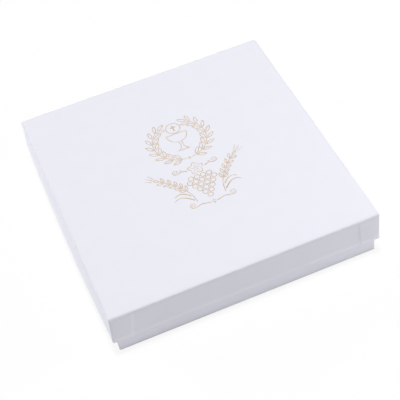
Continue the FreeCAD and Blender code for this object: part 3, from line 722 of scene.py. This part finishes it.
def lining_paper(sheets):
    """White lining paper, machine finished: a little warmer and flatter than the wrap, with fine fibres."""
    material, tree = new_material("lining_paper")
    place = add_node(tree, "ShaderNodeTexCoord")
    fibres = add_node(tree, "ShaderNodeMapping", [("Scale", (1.0, 0.25, 1.0))],
                      [("Vector", place, "Object")])
    tooth = add_node(tree, "ShaderNodeTexNoise", [("Scale", grain(0.9 * MM)), ("Detail", 4.0)],
                     [("Vector", fibres, "Vector")])
    tone = add_node(tree, "ShaderNodeMix",
                    [(MIX_A, opaque(sheets.lining, LINING_SHADE)), (MIX_B, opaque(sheets.lining))],
                    [("Factor", tooth, "Fac")], data_type="RGBA")
    bump = add_node(tree, "ShaderNodeBump", [("Strength", 0.25), ("Distance", 0.015 * MM)],
                    [("Height", tooth, "Fac")])
    paper = add_node(tree, "ShaderNodeBsdfPrincipled", [("Roughness", 0.6), ("Specular IOR Level", 0.35)],
                     [("Base Color", tone, MIX_RESULT), ("Normal", bump, "Normal")])
    add_node(tree, "ShaderNodeOutputMaterial", [], [("Surface", paper, "BSDF")])
    return material


def grey_board(sheets):
    """Recycled grey board, pressed from pulped print: matt warm grey with dark flecks about 0.5 mm wide."""
    material, tree = new_material("grey_board")
    place = add_node(tree, "ShaderNodeTexCoord")
    flecks = add_node(tree, "ShaderNodeTexVoronoi", [("Scale", grain(1.2 * MM)), ("Randomness", 1.0)],
                      [("Vector", place, "Object")])
    dark = add_node(tree, "ShaderNodeMapRange",
                    [("From Min", 0.0), ("From Max", 0.22), ("To Min", 0.6), ("To Max", 0.0)],
                    [("Value", flecks, "Distance")])
    tone = add_node(tree, "ShaderNodeMix", [(MIX_A, opaque(sheets.board)), (MIX_B, opaque(sheets.fleck))],
                    [("Factor", dark, "Result")], data_type="RGBA")
    pulp = add_node(tree, "ShaderNodeTexNoise", [("Scale", grain(0.6 * MM)), ("Detail", 4.0)],
                    [("Vector", place, "Object")])
    bump = add_node(tree, "ShaderNodeBump", [("Strength", 0.4), ("Distance", 0.04 * MM)],
                    [("Height", pulp, "Fac")])
    board = add_node(tree, "ShaderNodeBsdfPrincipled", [("Roughness", 0.85), ("Specular IOR Level", 0.2)],
                     [("Base Color", tone, MIX_RESULT), ("Normal", bump, "Normal")])
    add_node(tree, "ShaderNodeOutputMaterial", [], [("Surface", board, "BSDF")])
    return material


def kraft_tape(sheets):
    """Gummed kraft paper: brown, with fibres drawn out along the tape and a faint gloss from the glue."""
    material, tree = new_material("kraft_tape")
    place = add_node(tree, "ShaderNodeTexCoord")
    fibres = add_node(tree, "ShaderNodeMapping", [("Scale", (1.0, 1.0, 0.15))],
                      [("Vector", place, "Object")])
    strands = add_node(tree, "ShaderNodeTexNoise", [("Scale", grain(0.5 * MM)), ("Detail", 5.0)],
                       [("Vector", fibres, "Vector")])
    tone = add_node(tree, "ShaderNodeMix",
                    [(MIX_A, opaque(sheets.kraft, KRAFT_SHADE)), (MIX_B, opaque(sheets.kraft))],
                    [("Factor", strands, "Fac")], data_type="RGBA")
    bump = add_node(tree, "ShaderNodeBump", [("Strength", 0.3), ("Distance", 0.02 * MM)],
                    [("Height", strands, "Fac")])
    tape = add_node(tree, "ShaderNodeBsdfPrincipled", [("Roughness", 0.55), ("Specular IOR Level", 0.4)],
                    [("Base Color", tone, MIX_RESULT), ("Normal", bump, "Normal")])
    add_node(tree, "ShaderNodeOutputMaterial", [], [("Surface", tape, "BSDF")])
    return material


def gold_foil(sheets):
    """Hot-stamped pale gold foil: bright metal film, paler and duller where the paper's tooth breaks it."""
    material, tree = new_material("gold_foil")
    place = add_node(tree, "ShaderNodeTexCoord")
    tooth = add_node(tree, "ShaderNodeTexNoise", [("Scale", grain(0.5 * MM)), ("Detail", 3.0)],
                     [("Vector", place, "Object")])
    dull = add_node(tree, "ShaderNodeMapRange",
                    [("From Min", 0.3), ("From Max", 0.7), ("To Min", 0.22), ("To Max", 0.45)],
                    [("Value", tooth, "Fac")])
    patches = add_node(tree, "ShaderNodeTexNoise", [("Scale", grain(2.2 * MM)), ("Detail", 4.0)],
                       [("Vector", place, "Object")])
    broken = add_node(tree, "ShaderNodeMapRange", [("From Min", 0.35), ("From Max", 0.65)],
                      [("Value", patches, "Fac")])
    tone = add_node(tree, "ShaderNodeMix",
                    [(MIX_A, opaque(sheets.foil)), (MIX_B, opaque(sheets.broken_foil))],
                    [("Factor", broken, "Result")], data_type="RGBA")
    bump = add_node(tree, "ShaderNodeBump", [("Strength", 0.3), ("Distance", 0.015 * MM)],
                    [("Height", tooth, "Fac")])
    foil = add_node(tree, "ShaderNodeBsdfPrincipled", [("Metallic", 1.0)],
                    [("Base Color", tone, MIX_RESULT), ("Roughness", dull, "Result"),
                     ("Normal", bump, "Normal")])
    add_node(tree, "ShaderNodeOutputMaterial", [], [("Surface", foil, "BSDF")])
    return material


def flocked_cloth(pad):
    """White flock, short nylon fibres shot upright into glue: soft, matt and paler at grazing angles.

    The pile is drawn at 0.6 mm, coarser than the real fibres, so that it shows, over slow brush marks.
    """
    material, tree = new_material("flocked_cloth")
    place = add_node(tree, "ShaderNodeTexCoord")
    pile = add_node(tree, "ShaderNodeTexNoise",
                    [("Scale", grain(0.6 * MM)), ("Detail", 5.0), ("Roughness", 0.7)],
                    [("Vector", place, "Object")])
    brushed = add_node(tree, "ShaderNodeTexNoise", [("Scale", grain(24 * MM)), ("Detail", 2.0)],
                       [("Vector", place, "Object")])
    depth = add_node(tree, "ShaderNodeMath", [(1, 0.35)], [(0, brushed, "Fac")], operation="MULTIPLY")
    stand = add_node(tree, "ShaderNodeMath", [], [(0, pile, "Fac"), (1, depth, "Value")],
                     operation="ADD", use_clamp=True)
    # Darker between the fibres by painted shade, lighter where the pile and the brush marks stand.
    tone = add_node(tree, "ShaderNodeMix", [(MIX_A, opaque(pad.root)), (MIX_B, opaque(pad.pile))],
                    [("Factor", stand, "Value")], data_type="RGBA")
    bump = add_node(tree, "ShaderNodeBump", [("Strength", 0.6), ("Distance", 0.12 * MM)],
                    [("Height", pile, "Fac")])
    cloth = add_node(tree, "ShaderNodeBsdfPrincipled",
                     [("Roughness", 0.95), ("Specular IOR Level", 0.15),
                      ("Sheen Weight", 0.35), ("Sheen Roughness", 0.4)],
                     [("Base Color", tone, MIX_RESULT), ("Normal", bump, "Normal")])
    add_node(tree, "ShaderNodeOutputMaterial", [], [("Surface", cloth, "BSDF")])
    return material


def open_cell_foam(pad):
    """Cut polyurethane foam: off-white and matt, full of open cells about a millimetre wide."""
    material, tree = new_material("open_cell_foam")
    place = add_node(tree, "ShaderNodeTexCoord")
    cells = add_node(tree, "ShaderNodeTexVoronoi", [("Scale", grain(1.0 * MM))],
                     [("Vector", place, "Object")])
    tone = add_node(tree, "ShaderNodeMix",
                    [(MIX_A, opaque(pad.foam, FOAM_SHADE)), (MIX_B, opaque(pad.foam))],
                    [("Factor", cells, "Distance")], data_type="RGBA")
    bump = add_node(tree, "ShaderNodeBump", [("Strength", 0.7), ("Distance", 0.25 * MM)],
                    [("Height", cells, "Distance")])
    foam = add_node(tree, "ShaderNodeBsdfPrincipled", [("Roughness", 0.95), ("Specular IOR Level", 0.15)],
                    [("Base Color", tone, MIX_RESULT), ("Normal", bump, "Normal")])
    add_node(tree, "ShaderNodeOutputMaterial", [], [("Surface", foam, "BSDF")])
    return material


def seen_directly(tree):
    """1 for camera, glossy and transmission rays, and 0 for the rays that light things."""
    path = add_node(tree, "ShaderNodeLightPath")
    either = add_node(tree, "ShaderNodeMath", [], [(0, path, "Is Camera Ray"), (1, path, "Is Glossy Ray")],
                      operation="MAXIMUM")
    return add_node(tree, "ShaderNodeMath", [], [(0, either, "Value"), (1, path, "Is Transmission Ray")],
                    operation="MAXIMUM")


def studio_floor(stage):
    """Matt white studio floor: it bounces light and keeps the shadow, and is near white to the camera."""
    material, tree = new_material("studio_floor")
    seen = seen_directly(tree)
    share = add_node(tree, "ShaderNodeMath", [(1, stage.floor_white)], [(0, seen, "Value")],
                     operation="MULTIPLY")
    matt = add_node(tree, "ShaderNodeBsdfDiffuse", [("Color", opaque(stage.floor))])
    white = add_node(tree, "ShaderNodeEmission", [("Strength", 1.0)])
    mixed = add_node(tree, "ShaderNodeMixShader", [],
                     [(0, share, "Value"), (1, matt, "BSDF"), (2, white, "Emission")])
    add_node(tree, "ShaderNodeOutputMaterial", [], [("Surface", mixed, "Shader")])
    return material


# Operators

class NECKLACEBOX_OT_lid_wrap(bpy.types.Operator):
    """Wraps the lid in white paper: panel, walls, rim and turned-in edges in one sheet"""
    bl_idname = "necklace_box.lid_wrap"
    bl_label = "Lid wrap"

    def execute(self, context):
        wrap = context.scene.necklace_wrap
        tray = tray_sizes("lid", wrap)
        scales = panel_scales(tray, wrap)
        profile = wrap_section(tray, wrap, np.full(len(scales), wrap.fold_radius), scales)
        piece = add_tray("lid_wrap_paper", profile, tray, wrap, white_wrap_paper(wrap))
        # The fold mask paints shade along the folds and wear at the corners. The panel's two middle points
        # get none.
        unmarked_middles = [0, 0]
        add_mask(piece, "fold", np.append(fold_mask(profile, tray, wrap), unmarked_middles))
        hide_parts("lid_wrap")
        return {"FINISHED"}


class NECKLACEBOX_OT_base_wrap(bpy.types.Operator):
    """Wraps the base in white paper: a strip under the edge, the walls, the rim and the turned-in edges"""
    bl_idname = "necklace_box.base_wrap"
    bl_label = "Base wrap"

    def execute(self, context):
        wrap = context.scene.necklace_wrap
        tray = tray_sizes("base", wrap)
        insets = np.linspace(wrap.turn_under, wrap.fold_radius, STRIP_STEPS)
        profile = wrap_section(tray, wrap, insets, np.ones(len(insets)))
        piece = add_tray("base_wrap_paper", profile, tray, wrap, white_wrap_paper(wrap),
                         ring=True)
        # The fold mask: painted shade along the folds and wear at the corners.
        add_mask(piece, "fold", fold_mask(profile, tray, wrap))
        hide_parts("base_wrap")
        return {"FINISHED"}


class NECKLACEBOX_OT_linings(bpy.types.Operator):
    """Makes the lid's lining and papers the base's lining and the sheet under it"""
    bl_idname = "necklace_box.linings"
    bl_label = "Linings"

    def execute(self, context):
        wrap = context.scene.necklace_wrap
        tray = tray_sizes("lid", wrap)
        paper = lining_paper(context.scene.necklace_sheets)
        profile = sheet_section(tray["board"], tray["wall"], tray["liner_edge"], INNER_RADIUS,
                                panel_scales(tray, wrap))
        lining = add_tray("lid_lining_paper", profile, tray, wrap, paper)
        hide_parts("lid_liner")
        dress(["base_liner"], paper)
        dress(["base_bottom_sheet"], white_wrap_paper(wrap))
        return {"FINISHED"}


class NECKLACEBOX_OT_boards(bpy.types.Operator):
    """Makes the lid's leaning board and finishes the base's board and the corner stays"""
    bl_idname = "necklace_box.boards"
    bl_label = "Boards and stays"

    def execute(self, context):
        wrap, sheets = context.scene.necklace_wrap, context.scene.necklace_sheets
        tray = tray_sizes("lid", wrap)
        grey = grey_board(sheets)
        profile = sheet_section(tray["paper"], tray["board"], tray["deep"] - tray["paper"],
                                wrap.fold_radius - tray["paper"], panel_scales(tray, wrap))
        board = add_tray("lid_board_tray", profile, tray, wrap, grey)
        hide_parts("lid_board")
        dress(["base_board"], grey)
        stays = [f"{part}_corner_stay_{corner}" for part in ("lid", "base") for corner in CORNER_NAMES]
        dress(stays, kraft_tape(sheets))
        return {"FINISHED"}


class NECKLACEBOX_OT_foil(bpy.types.Operator):
    """Stamps the lid's ornament in gold foil"""
    bl_idname = "necklace_box.foil"
    bl_label = "Foil stamp"

    def execute(self, context):
        dress(FOIL_NODES, gold_foil(context.scene.necklace_sheets))
        return {"FINISHED"}


class NECKLACEBOX_OT_pad(bpy.types.Operator):
    """Makes the foam pad and the flocked cloth over it, both slit for a chain"""
    bl_idname = "necklace_box.pad"
    bl_label = "Pad"

    def execute(self, context):
        pad = context.scene.necklace_pad
        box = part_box("insert_face")
        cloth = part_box("insert_foam")[0][0] - box[0][0]
        self.make_cover(pad, box, cloth)
        self.make_foam(pad, box, cloth)
        return {"FINISHED"}

    def make_cover(self, pad, box, cloth):
        """A shell of one cloth's thickness: an outer and an inner skin, joined round the lower edge."""
        points, faces, edges, start = [], [], [], 0
        for inset in (0.0, cloth):
            top, cells, loop, sides = pad_skin(pad, box, inset)
            made, edge = skin_faces(start, cells, loop, len(sides), len(loop))
            faces += made if inset == 0 else [group[:, ::-1] for group in made]
            edges.append(edge)
            points += [top, sides.reshape(-1, 3)]
            start += len(top) + sides.size // 3
        faces.append(strip_quads(edges[1], edges[0]))
        cover = add_piece("pad_cover", np.concatenate(points), faces, "insert",
                          flocked_cloth(pad), PAD_SHARP)
        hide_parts("insert_face")

    def make_foam(self, pad, box, cloth):
        """A closed block under the cover, flat below."""
        top, cells, loop, sides = pad_skin(pad, box, cloth)
        upper, _ = skin_faces(0, cells, loop, len(sides) - 1, len(loop))
        below = np.array(top)
        below[:, 2] = sides[-1][0, 2]
        start = len(top) + (len(sides) - 1) * len(loop)
        last_row = start - len(loop) + np.arange(len(loop))
        faces = [*upper, strip_quads(start + loop, last_row), (start + cells)[:, ::-1]]
        points = np.concatenate([top, sides[:-1].reshape(-1, 3), below])
        foam = add_piece("pad_foam_block", points, faces, "insert",
                         open_cell_foam(pad), PAD_SHARP)
        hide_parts("insert_foam")


class NECKLACEBOX_OT_stage(bpy.types.Operator):
    """Sets up the white floor, the even light, three softboxes and the camera"""
    bl_idname = "necklace_box.stage"
    bl_label = "Stage"

    def execute(self, context):
        stage = context.scene.necklace_stage
        self.make_floor(stage)
        self.make_world(context.scene, stage)
        powers = {"over": stage.over_power, "right": stage.right_power, "left": stage.left_power}
        for name, (place, width) in SOFTBOXES.items():
            self.make_lamp(f"{name}_softbox", place, width, powers[name])
        self.make_camera(context.scene, stage)
        context.scene.view_settings.view_transform = "Standard"
        return {"FINISHED"}

    def make_floor(self, stage):
        """A wide flat floor that carries the shadow and is no part of the box."""
        corners = FLOOR_REACH * np.array([(-1, -1, 0), (1, -1, 0), (1, 1, 0), (-1, 1, 0)])
        mesh = bpy.data.meshes.new("studio_floor")
        mesh.from_pydata(corners.tolist(), [], [(0, 1, 2, 3)])
        mesh.materials.append(studio_floor(stage))
        floor = bpy.data.objects.new("studio_floor", mesh)
        bpy.context.scene.collection.objects.link(floor)

    def make_world(self, scene, stage):
        """Even light from all round; white where it is seen directly or reflected."""
        world = bpy.data.worlds.new("white_studio")
        world.use_nodes = True
        tree = world.node_tree
        tree.nodes.clear()
        seen = seen_directly(tree)
        even = add_node(tree, "ShaderNodeBackground", [("Strength", stage.ambient)])
        white = add_node(tree, "ShaderNodeBackground", [("Strength", 1.0)])
        for background in (even, white):
            background.inputs["Color"].default_value = opaque((1.0, 1.0, 1.0))
        mixed = add_node(tree, "ShaderNodeMixShader", [],
                         [(0, seen, "Value"), (1, even, "Background"), (2, white, "Background")])
        add_node(tree, "ShaderNodeOutputWorld", [], [("Surface", mixed, "Shader")])
        scene.world = world

    def make_lamp(self, name, place, width, power):
        """A square area lamp that faces the box. Neither the camera nor the foil sees the lamp itself."""
        lamp = bpy.data.lights.new(name, "AREA")
        lamp.size = width
        lamp.energy = power
        holder = bpy.data.objects.new(name, lamp)
        holder.location = place
        holder.rotation_mode = "QUATERNION"
        holder.rotation_quaternion = (-Vector(place)).to_track_quat("-Z", "Y")
        holder.visible_camera = False
        holder.visible_glossy = False
        bpy.context.scene.collection.objects.link(holder)

    def make_camera(self, scene, stage):
        """A camera that looks from its place to its aim, turned about that line by its roll."""
        camera = bpy.data.cameras.new("photo_camera")
        camera.lens = stage.lens
        camera.sensor_width = SENSOR_WIDTH
        holder = bpy.data.objects.new("photo_camera", camera)
        holder.location = stage.camera_place
        look = Vector(stage.camera_aim) - Vector(stage.camera_place)
        roll = Quaternion((0, 0, 1), stage.camera_roll)
        holder.rotation_mode = "QUATERNION"
        holder.rotation_quaternion = look.to_track_quat("-Z", "Y") @ roll
        scene.collection.objects.link(holder)
        scene.camera = holder


class NECKLACEBOX_PT_panel(bpy.types.Panel):
    """Lists the steps that dress the box, and their settings"""
    bl_idname = "NECKLACEBOX_PT_panel"
    bl_label = "Necklace box"
    bl_space_type = "VIEW_3D"
    bl_region_type = "UI"
    bl_category = "Necklace box"

    def draw(self, context):
        for operator in OPERATORS:
            self.layout.operator(operator.bl_idname)
        for name, kind in SETTINGS.items():
            group = self.layout.box()
            for key in kind.__annotations__:
                group.prop(getattr(context.scene, name), key)


OPERATORS = (
    NECKLACEBOX_OT_lid_wrap,
    NECKLACEBOX_OT_base_wrap,
    NECKLACEBOX_OT_linings,
    NECKLACEBOX_OT_boards,
    NECKLACEBOX_OT_foil,
    NECKLACEBOX_OT_pad,
    NECKLACEBOX_OT_stage,
)
SETTINGS = {
    "necklace_wrap": WrapSettings,
    "necklace_pad": PadSettings,
    "necklace_sheets": SheetSettings,
    "necklace_stage": StageSettings,
}


def register():
    """Registers the settings, the operators and the panel, and gives the scene its settings."""
    for kind in (*SETTINGS.values(), *OPERATORS, NECKLACEBOX_PT_panel):
        bpy.utils.register_class(kind)
    for name, kind in SETTINGS.items():
        setattr(bpy.types.Scene, name, bpy.props.PointerProperty(type=kind))


def unregister():
    """Takes back what register does, in the opposite order."""
    for name in SETTINGS:
        delattr(bpy.types.Scene, name)
    for kind in (NECKLACEBOX_PT_panel, *reversed(OPERATORS), *reversed(SETTINGS.values())):
        bpy.utils.unregister_class(kind)


def main():
    register()
    bpy.ops.necklace_box.lid_wrap()
    bpy.ops.necklace_box.base_wrap()
    bpy.ops.necklace_box.linings()
    bpy.ops.necklace_box.boards()
    bpy.ops.necklace_box.foil()
    bpy.ops.necklace_box.pad()
    bpy.ops.necklace_box.stage()


if __name__ == "__main__":
    main()
